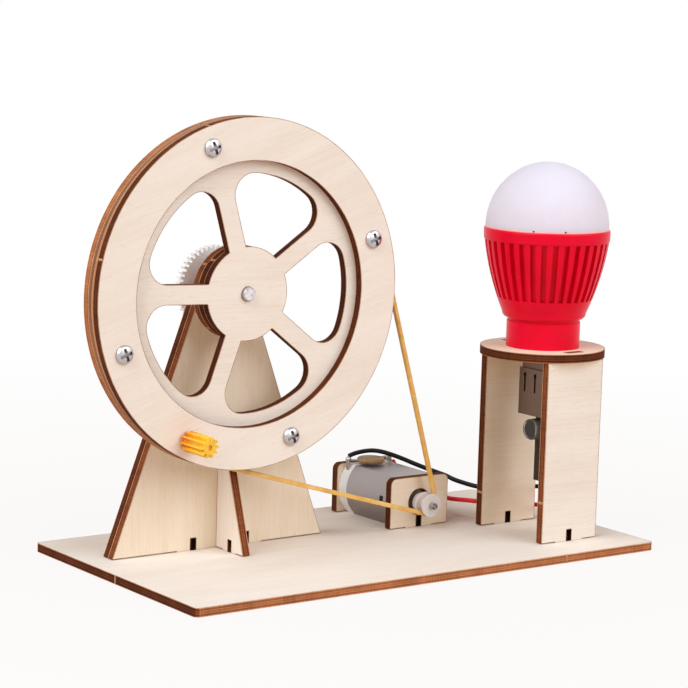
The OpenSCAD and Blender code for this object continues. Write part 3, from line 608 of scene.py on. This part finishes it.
def moulded(name, colour, deep, roughness, glow, reach_mm):
    """Moulded translucent plastic: smooth, with light that soaks in and comes out deeper in colour."""
    made = clouded(
        name,
        [(0.25, deep), (0.6, colour)],
        6,
        {
            "IOR": 1.5,
            "Subsurface Weight": glow,
            "Subsurface Radius": (1.0, 0.6, 0.35),
            "Subsurface Scale": reach_mm * mm,
        },
        {"Distortion": 0.6},
    )
    tree, shader, _ = opened(made)
    # a skin of 0.5 mm grain, a little duller and shinier from place to place
    place = add(tree, "ShaderNodeTexCoord").outputs["Object"]
    skin = add(
        tree, "ShaderNodeTexNoise", {"Scale": 1 / (0.5 * mm), "Detail": 2}, {"Vector": place}
    )
    dull = add(
        tree,
        "ShaderNodeMapRange",
        {"To Min": roughness * 0.85, "To Max": roughness * 1.15},
        {"Value": skin.outputs[0]},
    )
    tree.links.new(dull.outputs[0], shader.inputs["Roughness"])
    return made


white_nylon = moulded("nylon_white_moulded", "#FDFBFA", "#F8F6F5", 0.4, 0, 1)
dress(white_nylon, "axle_gear", "axle_sleeve")

# Crank knob: a long pinion of ten teeth in clear amber acetal, used as the handle. It turns freely on
# the steel pin. Its orange is painted deeper towards the wheel, a painted glow of the light that passes
# through the amber.
knob_pale_y, knob_deep_y = -5.5 * mm, -1 * mm
amber_acetal = moulded("acetal_amber_moulded", "#FFC634", "#FFA51A", 0.22, 0.75, 2.5)
tree, shader, amber_tint = opened(amber_acetal)
amber_place = add(tree, "ShaderNodeTexCoord").outputs["Object"]
amber_length = add(tree, "ShaderNodeSeparateXYZ", {}, {"Vector": amber_place})
# painted glow: the amber turns a deeper orange from the tip towards the wheel
amber_glow_share = add(
    tree,
    "ShaderNodeMapRange",
    {"From Min": knob_pale_y, "From Max": knob_deep_y, "To Min": 0, "To Max": 0.85},
    {"Value": amber_length.outputs["Y"]},
)
amber_painted_glow = add(
    tree,
    "ShaderNodeMix",
    {"data_type": "RGBA", mix_over: linear("#F58A12")},
    {mix_share: amber_glow_share.outputs[0], mix_under: amber_tint},
)
tree.links.new(amber_painted_glow.outputs[mix_result], shader.inputs["Base Color"])
dress(amber_acetal, "crank_knob")

# Motor plates: two squares of the same sheet with rounded top corners and a hole for the
# motor's boss. They clamp the motor between them on the base.
for node in ("motor_front_plate", "motor_rear_plate"):
    ply(node, normal=Y, grain=X, burnt="firmly", sheet="straw")
    slits_char_shaded(node, X)
cut_lines("motor_cut_lines", "frame", [front, back], "motor_front_plate", "motor_rear_plate")

# Motor: a drawn steel can with flat top and bottom, nickel plated and slightly satin, closed
# by a white nylon cap that carries the terminals. Magnets of sintered ferrite line the can.
nickel_can = bright_metal("steel_nickel_satin", "#9F9490", 0.42, 0.5)
dress(nickel_can, "motor_can", "rotor_stack")
white_cap = moulded("nylon_white_cap", "#EFEDE9", "#E6E3DF", 0.45, 0.2, 1.0)
dress(white_cap, "motor_end_cap")
# tin greys the brass of the terminals, and plain brass keeps its yellow
tinned_brass = bright_metal("brass_tinned", "#B5AAA4", 0.35, 0.3)
dress(tinned_brass, "motor_terminals")
plain_brass = bright_metal("brass_turned", "#C9A24A", 0.35, 0.2)
dress(plain_brass, "motor_front_bush", "motor_rear_bush", "motor_brushes")
# enamel deepens the red of copper
copper_wire = bright_metal("copper_enamelled", "#B5693A", 0.35, 0.3)
dress(copper_wire, "rotor_windings", "commutator")
# sintered ferrite is dark grey and dull, with a fine speckle
dark_ferrite = clouded(
    "ferrite_sintered",
    [(0.3, "#2E2D30"), (0.7, "#4C4B4E")],
    0.4,
    {"Roughness": 0.7, "IOR": 1.6},
    {"Detail": 3},
)
dress(dark_ferrite, "motor_magnets")

# Suppression capacitor: a ceramic disc dipped in tan resin, lying on the motor's flat with
# its two bare leads soldered to the terminals.
cap_centre, cap_r = Vector((29.3, 30.5)) * mm, 4.3 * mm
tan_dip, tree, shader = surface("resin_dipped_tan", "#B48A55", {"IOR": 1.5})
dip_place = add(tree, "ShaderNodeTexCoord").outputs["Object"]
# the resin runs in drops 1.5 mm across, darker and shinier where it is thick
dip_flow = add(
    tree,
    "ShaderNodeTexNoise",
    {"Scale": 1 / (1.5 * mm), "Detail": 3, "Roughness": 0.55},
    {"Vector": dip_place},
)
dip_tone = add(
    tree,
    "ShaderNodeValToRGB",
    {"stops": [(0.3, "#8E6741"), (0.55, "#A07A50"), (0.75, "#B48E62")]},
    {"Fac": dip_flow.outputs[0]},
)
tree.links.new(dip_tone.outputs[0], shader.inputs["Base Color"])
dip_dull = add(
    tree, "ShaderNodeMapRange", {"To Min": 0.3, "To Max": 0.55}, {"Value": dip_flow.outputs[0]}
)
tree.links.new(dip_dull.outputs[0], shader.inputs["Roughness"])
dress(tan_dip, "noise_capacitor")
# the leads are what lies outside the disc, apart from faces that lie flat
lead_from, lies_flat = cap_r + 0.05 * mm, 0.99
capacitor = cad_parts["noise_capacitor"].data
capacitor.materials.append(tinned_brass)
for face in capacitor.polygons:
    outside = (face.center.xy - cap_centre).length > lead_from
    if outside and abs(face.normal.z) < lies_flat:
        face.material_index = 1

# each joint is a lump of solder, flattened a little and uneven in waves of about 2 mm
solder = bright_metal("solder_tin", "#B9B0AB", 0.28, 0.6)
solder_r, flat_x, flat_z = 1.0 * mm, 0.85, 0.75
solder_middle, solder_side = Vector((30.8, 33.4, 19.3)) * mm, 7.9 * mm
wave_share, wave_shift, wave_x, wave_z = 0.12, 1.7, 2900, 3300
shape = bmesh.new()
for side in (-1, 1):
    blob = bmesh.ops.create_icosphere(shape, subdivisions=3, radius=solder_r)
    for point in blob["verts"]:
        wave = math.sin(wave_x * point.co.x + wave_shift * side) * math.cos(wave_z * point.co.z)
        lump = 1 + wave_share * wave
        point.co = lump * Vector((flat_x * point.co.x, point.co.y, flat_z * point.co.z))
        point.co += solder_middle + Vector((side * solder_side, 0, 0))
solder_joints = into_scene(shape, "solder_joints", solder)
for face in solder_joints.data.polygons:
    face.use_smooth = True
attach(solder_joints, "frame")

# Pulley: a small grooved wheel of white acetal, moulded and pressed on the motor's shaft. Its slightly
# waxy white is painted a darker, warm grey as painted shade.
pulley_acetal_shaded = moulded("acetal_pulley_shaded", "#DED5D0", "#D2C8C2", 0.35, 0.25, 0.8)
dress(pulley_acetal_shaded, "drive_pulley")

# Belt: one loop of square amber rubber, extruded and joined, stretched round the wheel's
# groove and the pulley. It is slightly clear, so its sides look deeper than its corners.
belt_y = 3.15
belt_s = 1.3
belt_corner = 0.22
# centre in x and z and the belt's radius there, in mm, on the wheel and on the pulley
belt_wheel = (Vector(wheel_centre), 48.45)
belt_pulley = (Vector((30.8, 10.05)), 2.95)
belt_wheel_steps, belt_pulley_steps, belt_run_steps = 120, 24, 30

amber_rubber = clouded(
    "rubber_natural_amber",
    [(0.3, "#DFA548"), (0.55, "#EBBA62"), (0.75, "#F4D08C")],
    4,
    {
        "IOR": 1.52,
        "Roughness": 0.42,
        "Subsurface Weight": 0.35,
        "Subsurface Radius": (1.0, 0.55, 0.2),
        "Subsurface Scale": 0.8 * mm,
    },
    {"Detail": 3, "Roughness": 0.6},
)
# in the wheel's groove, up to just past its own back, the belt is painted brown as shade from the rings
belt_shade_full = (belt_wheel[1] + 0.7) * mm
belt_shade_end = belt_shade_full + 0.45 * mm
tree, shader, rubber_tone = opened(amber_rubber)
belt_shade_ramp = add(
    tree,
    "ShaderNodeMapRange",
    {"From Min": belt_shade_full, "From Max": belt_shade_end, "To Min": 0.9, "To Max": 0},
    {"Value": from_axle(tree)},
)
belt_shade_mix = add(
    tree,
    "ShaderNodeMix",
    {"data_type": "RGBA", mix_over: linear("#B37549")},
    {mix_share: belt_shade_ramp.outputs[0], mix_under: rubber_tone},
)
tree.links.new(belt_shade_mix.outputs[mix_result], shader.inputs["Base Color"])

# the belt's middle line: round one wheel, along a straight run to the other, and so on,
# with the direction that points out of the loop at each place
span = belt_pulley[0] - belt_wheel[0]
lean = math.acos((belt_wheel[1] - belt_pulley[1]) / span.length)
heading = math.atan2(span.y, span.x)
belt_line = []
for (centre, radius), other, start, sweep, count in (
    (belt_wheel, belt_pulley, heading + lean, 2 * math.pi - 2 * lean, belt_wheel_steps),
    (belt_pulley, belt_wheel, heading - lean, 2 * lean, belt_pulley_steps),
):
    for i in range(count + 1):
        angle = start + sweep * i / count
        belt_line.append((centre + radius * Vector((math.cos(angle), math.sin(angle))), angle))
    leaving = start + sweep
    out = Vector((math.cos(leaving), math.sin(leaving)))
    run_from, run_to = centre + radius * out, other[0] + other[1] * out
    for i in range(1, belt_run_steps):
        belt_line.append((run_from.lerp(run_to, i / belt_run_steps), leaving))

half_s, flat_s = belt_s / 2, belt_s / 2 - belt_corner
belt_section = [
    (half_s, -flat_s), (half_s, flat_s), (flat_s, half_s), (-flat_s, half_s),
    (-half_s, flat_s), (-half_s, -flat_s), (-flat_s, -half_s), (flat_s, -half_s),
]
shape = bmesh.new()
rings = []
for point, angle in belt_line:
    out = Vector((math.cos(angle), math.sin(angle)))
    ring = []
    for r, y in belt_section:
        place = point + out * r
        ring.append(shape.verts.new((place.x * mm, (belt_y + y) * mm, place.y * mm)))
    rings.append(ring)
sides = len(belt_section)
for ring, following in zip(rings, rings[1:] + rings[:1]):
    for k in range(sides):
        after = (k + 1) % sides
        shape.faces.new((ring[k], ring[after], following[after], following[k]))
bmesh.ops.recalc_face_normals(shape, faces=shape.faces)
belt = into_scene(shape, "belt", amber_rubber)
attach(belt, "frame")
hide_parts("drive_belt")

# Lamp tower: two posts with a tenon at each end and a round top that their upper tenons
# hold, all cut from the same sheet.
ply("lamp_front_post", normal=Y, grain=X)
ply("lamp_rear_post", normal=Y, grain=X, burnt="firmly", sheet="straw")
slits_char_shaded("lamp_front_post", X)
slits_char_shaded("lamp_rear_post", X)
ply("lamp_top_disc", normal=Z, grain=X, burnt="firmly", sheet="straw")
cut_lines("post_cut_lines", "frame", [front, back], "lamp_front_post", "lamp_rear_post")
cut_lines("disc_cut_lines", "frame", [up, down], "lamp_top_disc")
stubs(
    "post_stubs",
    "frame",
    [((47.85, -0.05, 12.8), left, back), ((47.85, -28.35, 14.7), left, back)],
)

# Socket and converter board: a folded, nickel-plated steel shell with a black tongue, soldered to a
# small dark board with its chip, choke and storage capacitor. The shell's brownish grey is painted
# shade and a painted reflection of the wood round it.
# painted shade and painted reflection of the wood make the shell a dark brownish grey
socket_metal_shaded = bright_metal("steel_nickel_shaded_brown", "#7A6355", 0.4, 0.4)
dress(socket_metal_shaded, "socket_shell", "plug_shell")
# the board's weave of glass shows through its varnish, and its dark brown is painted shade, the colour
# the board shows in the shade
board_shaded_tone = clouded(
    "epoxy_board_painted_shade",
    [(0.3, "#241F1C"), (0.7, "#342D28")],
    0.8,
    {"Roughness": 0.35, "IOR": 1.5},
)
dress(board_shaded_tone, "boost_board")
# the filler in moulded epoxy leaves a fine grit
black_resin = clouded(
    "epoxy_black_moulded",
    [(0.3, "#222224"), (0.7, "#343436")],
    0.3,
    {"Roughness": 0.5, "IOR": 1.5},
)
dress(black_resin, "boost_parts", "socket_tongue")
# the capacitor's can is sleeved in grey film, shrunk on and softly shiny
sleeve_film = clouded(
    "film_sleeve_grey",
    [(0.3, "#6B645E"), (0.7, "#7A736D")],
    2,
    {"Roughness": 0.35, "Specular IOR Level": 0.3},
)
dress(sleeve_film, "storage_capacitor")
can_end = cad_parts["storage_capacitor"].data
can_end.materials.append(bright_metal("aluminium_can_end", "#F0EEEB", 0.25, 0.3))
# the film's end is dark and dull, inside the bright ring that the film leaves bare
can_end.materials.append(moulded("film_end_dark", "#332E2A", "#2B2623", 0.5, 0, 1))
tip_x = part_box("storage_capacitor")[0].x + 0.3 * mm
tip_cosine = 0.95
for face in can_end.polygons:
    if face.center.x < tip_x:
        face.material_index = 1 if face.normal.x > -tip_cosine else 2

# Bulb: a red housing moulded in glossy ABS with open grooves round it, a milky diffuser
# snapped on its rim, and a metal-shelled plug under its neck.
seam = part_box("bulb_dome")[0].z
# where the painted highlight on the lip lies, just under the seam
lip_highlight_low, lip_highlight_high = seam - 0.5 * mm, seam - 0.2 * mm
red_abs = clouded(
    "abs_red_gloss",
    [(0.3, "#E2032A"), (0.7, "#EA062E")],
    9,
    {
        "Specular IOR Level": 0.12,
        "Roughness": 0.32,
        "Subsurface Weight": 0.08,
        "Subsurface Radius": (1.0, 0.15, 0.1),
        "Subsurface Scale": 0.8 * mm,
    },
    {"Distortion": 0.5},
)
# a pale pink band on the lip under the diffuser is a painted highlight, where the lip's chamfer catches
# the light
tree, shader, abs_tone = opened(red_abs)
abs_place = add(tree, "ShaderNodeTexCoord").outputs["Object"]
abs_height = add(tree, "ShaderNodeSeparateXYZ", {}, {"Vector": abs_place})
abs_lip_highlight = add(
    tree,
    "ShaderNodeMapRange",
    {"From Min": lip_highlight_low, "From Max": lip_highlight_high, "To Min": 0, "To Max": 0.8},
    {"Value": abs_height.outputs["Z"]},
)
abs_colour_highlit = add(
    tree,
    "ShaderNodeMix",
    {"data_type": "RGBA", mix_over: linear("#FFC6BE")},
    {mix_share: abs_lip_highlight.outputs[0], mix_under: abs_tone},
)
tree.links.new(abs_colour_highlit.outputs[mix_result], shader.inputs["Base Color"])
# the faint orange peel of the mould, 0.7 mm across
abs_peel = add(
    tree, "ShaderNodeTexNoise", {"Scale": 1 / (0.7 * mm), "Detail": 1}, {"Vector": abs_place}
)
abs_bump = add(
    tree,
    "ShaderNodeBump",
    {"Strength": 0.06, "Distance": 0.02 * mm},
    {"Height": abs_peel.outputs[0]},
)
tree.links.new(abs_bump.outputs[0], shader.inputs["Normal"])
dress(red_abs, "bulb_housing")

# the diffuser's white filler scatters every colour alike, and its fine matt skin mirrors little
milky_diffuser = moulded("polycarbonate_milky", "#EAE1EE", "#E8DEEC", 0.5, 0.35, 6)
milky_shader = milky_diffuser.node_tree.nodes["Principled BSDF"]
milky_shader.inputs["Subsurface Radius"].default_value = (1, 1, 1)
milky_shader.inputs["Specular IOR Level"].default_value = 0.04
dress(milky_diffuser, "bulb_dome")
# its mould is smooth, so its rings of facets shade as one form, with a sharp edge at the rim
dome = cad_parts["bulb_dome"]
joined = dome.modifiers.new("joined", "WELD")
joined.merge_threshold = 0.001 * mm
parted = dome.modifiers.new("rim_parted", "EDGE_SPLIT")
parted.split_angle = math.radians(40)
smooth = dome.modifiers.new("smooth", "WEIGHTED_NORMAL")
smooth.keep_sharp = False

# two of the diffuser's snap hooks leave small gaps at the seam, and small dark balls paint the shade in
# them
hook_r, hook_circle = 0.32 * mm, 18.2 * mm
seam_middle = Vector((58.3 * mm, -14.2 * mm, seam))
shape = bmesh.new()
for angle in (217.3, 246.5):
    way = Vector((math.cos(math.radians(angle)), math.sin(math.radians(angle)), 0))
    hook = bmesh.ops.create_icosphere(shape, subdivisions=2, radius=hook_r)
    for point in hook["verts"]:
        point.co += seam_middle + hook_circle * way
seam_gap_shade = into_scene(shape, "seam_gap_shade", black_resin)
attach(seam_gap_shade, "bulb")
dress(white_cap, "bulb_led_board", "plug_core")
# phosphor cast in silicone is a matt, pale yellow
led_phosphor = moulded("silicone_phosphor", "#F4E27A", "#E8D060", 0.5, 0.2, 0.5)
dress(led_phosphor, "bulb_leds")

# Wires: two stranded leads in PVC, one black and one red. They leave the motor's terminals,
# cross behind the rear post and turn round it to the back of the board, where they are soldered.
wire_d = 1.4
# extruded PVC is evenly coloured and softly shiny
pvc_skin = {"Roughness": 0.4, "Specular IOR Level": 0.2}
black_pvc = clouded("pvc_black", [(0.3, "#0F0D0D"), (0.75, "#1A1818")], 3, pvc_skin)
red_pvc = clouded("pvc_red", [(0.3, "#EA242B"), (0.75, "#F43A3C")], 3, pvc_skin)


def lead(name, node, material, route):
    """One wire along its route, in mm, that ends on the board, in place of the CAD's own wire."""
    line = bpy.data.curves.new(name, "CURVE")
    line.dimensions = "3D"
    line.bevel_depth = wire_d / 2 * mm
    line.bevel_resolution = 4
    line.resolution_u = 6
    line.use_fill_caps = True
    spline = line.splines.new("BEZIER")
    spline.bezier_points.add(len(route) - 1)
    for knot, point in zip(spline.bezier_points, route):
        knot.co = Vector(point) * mm
        knot.handle_left_type = knot.handle_right_type = "AUTO"
    line.materials.append(material)
    piece = bpy.data.objects.new(name, line)
    scene.collection.objects.link(piece)
    bpy.context.view_layer.update()
    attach(piece, "frame")
    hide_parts(node)


black_route = [
    (23.2, 33.4, 20.3), (25.2, 33.6, 20.75), (27.6, 33.7, 21.05), (30.1, 33.6, 21.2),
    (32.6, 33.2, 21.1), (35.2, 32.2, 20.6), (37.8, 30.4, 19.7), (40, 28, 18.7), (42, 25, 17.6),
    (44, 22, 16.6), (45.8, 19.2, 15.75), (47.6, 16.2, 14.9), (48.3, 13, 14.2), (49.9, 9.8, 13.5),
    (51.5, 7, 13), (53.9, 4.6, 12.5), (56.9, 3.2, 12.1), (60.4, 2.6, 11.8), (63.9, 2.4, 11.7),
    (67.5, 2.4, 11.8), (69.7, 2, 12), (71, 0.4, 12.2), (71.3, -1.8, 12.5), (70.9, -4.4, 13.2),
    (69.3, -7.2, 14), (67.1, -10.4, 15.4), (64.9, -13.6, 17), (63.5, -16, 19.6),
]
red_route = [
    (39.8, 33.2, 17.3), (40.6, 33.2, 16.1), (41.6, 32.9, 14.4), (42.6, 32.1, 12.6),
    (43.8, 30.7, 11.1), (45, 28.7, 10), (46.2, 26, 9.3), (46.9, 23, 8.8), (47.3, 20, 8.5),
    (47.4, 17, 8.3), (46.9, 13.4, 8.4), (47.5, 10.2, 8.6), (48.5, 7.4, 8.8), (50.1, 4.9, 8.8),
    (52.9, 3.2, 8.4), (56.5, 2.6, 7.9), (60.1, 2.4, 7.4), (63.7, 2.4, 7), (67.5, 2.4, 6.6),
    (69.7, 2, 6.4), (71, 0.4, 6.4), (71.3, -1.8, 6.4), (70.7, -4.2, 6.8), (68.7, -6.2, 7.8),
    (66.3, -7.6, 9.6), (64.7, -8.8, 12.2), (63.8, -9.8, 15.4), (63.6, -10.6, 19),
]
lead("black_lead", "black_wire", black_pvc, black_route)
lead("red_lead", "red_wire", red_pvc, red_route)

# Floor and light: a white sweep that fades into a white room, a soft lamp at the front
# right and another at the left side.
floor_reach = 6.0
shade_from, white_by = 80 * mm, 400 * mm
floor_mesh = bpy.data.meshes.new("floor")
floor_mesh.from_pydata(
    [(x * floor_reach, y * floor_reach, 0) for x, y in ((-1, -1), (1, -1), (1, 1), (-1, 1))],
    [],
    [(0, 1, 2, 3)],
)
floor = bpy.data.objects.new("floor", floor_mesh)
scene.collection.objects.link(floor)
white_sweep, tree, shader = surface(
    "paper_white_sweep", "#DCC4B0", {"Roughness": 0.9, "Specular IOR Level": 0}
)
floor_place = add(tree, "ShaderNodeTexCoord").outputs["Object"]
away = add(tree, "ShaderNodeVectorMath", {"operation": "LENGTH"}, {0: floor_place})
burnt_out = add(
    tree,
    "ShaderNodeMapRange",
    {"From Min": shade_from, "From Max": white_by, "To Min": 0.9, "To Max": 1},
    {"Value": away.outputs["Value"]},
)


def seen_rays(tree):
    """One for a ray that reaches the eye straight, by a reflection or through a clear piece."""
    rays = add(tree, "ShaderNodeLightPath").outputs
    first = add(
        tree,
        "ShaderNodeMath",
        {"operation": "MAXIMUM"},
        {0: rays["Is Camera Ray"], 1: rays["Is Glossy Ray"]},
    )
    return add(
        tree,
        "ShaderNodeMath",
        {"operation": "MAXIMUM"},
        {0: first.outputs[0], 1: rays["Is Transmission Ray"]},
    ).outputs[0]


seen_share = add(
    tree, "ShaderNodeMath", {"operation": "MULTIPLY"}, {0: seen_rays(tree), 1: burnt_out.outputs[0]}
)
white = add(tree, "ShaderNodeEmission", {"Color": (1, 1, 1, 1), "Strength": 1})
blend = add(
    tree,
    "ShaderNodeMixShader",
    {},
    {0: seen_share.outputs[0], 1: shader.outputs[0], 2: white.outputs[0]},
)
tree.links.new(blend.outputs[0], tree.nodes["Material Output"].inputs["Surface"])
floor_mesh.materials.append(white_sweep)

world = bpy.data.worlds.new("white_room")
scene.world = world
world.use_nodes = True
tree = world.node_tree
tree.nodes.clear()
room = add(tree, "ShaderNodeBackground", {"Color": linear("#FFD6B8"), "Strength": 0.25})
backdrop = add(tree, "ShaderNodeBackground", {"Color": (1, 1, 1, 1), "Strength": 1})
either = add(
    tree,
    "ShaderNodeMixShader",
    {},
    {0: seen_rays(tree), 1: room.outputs[0], 2: backdrop.outputs[0]},
)
add(tree, "ShaderNodeOutputWorld", {}, {"Surface": either.outputs[0]})

lamp_colour = linear("#EAF6FF")[:3]
lamp_target = (0, 0, 0.05)


def soft_lamp(name, place, size, power):
    lamp = bpy.data.lights.new(name, "AREA")
    lamp.size = size
    lamp.energy = power
    lamp.color = lamp_colour
    holder = bpy.data.objects.new(name, lamp)
    scene.collection.objects.link(holder)
    holder.location = place
    way = Vector(lamp_target) - Vector(place)
    holder.rotation_euler = way.to_track_quat("-Z", "Y").to_euler()


soft_lamp("right_lamp", (0.43, -0.97, 0.71), size=1.2, power=13)
soft_lamp("left_lamp", (-0.95, -0.1, 0.85), size=1, power=15.2)
scene.view_settings.view_transform = "Standard"
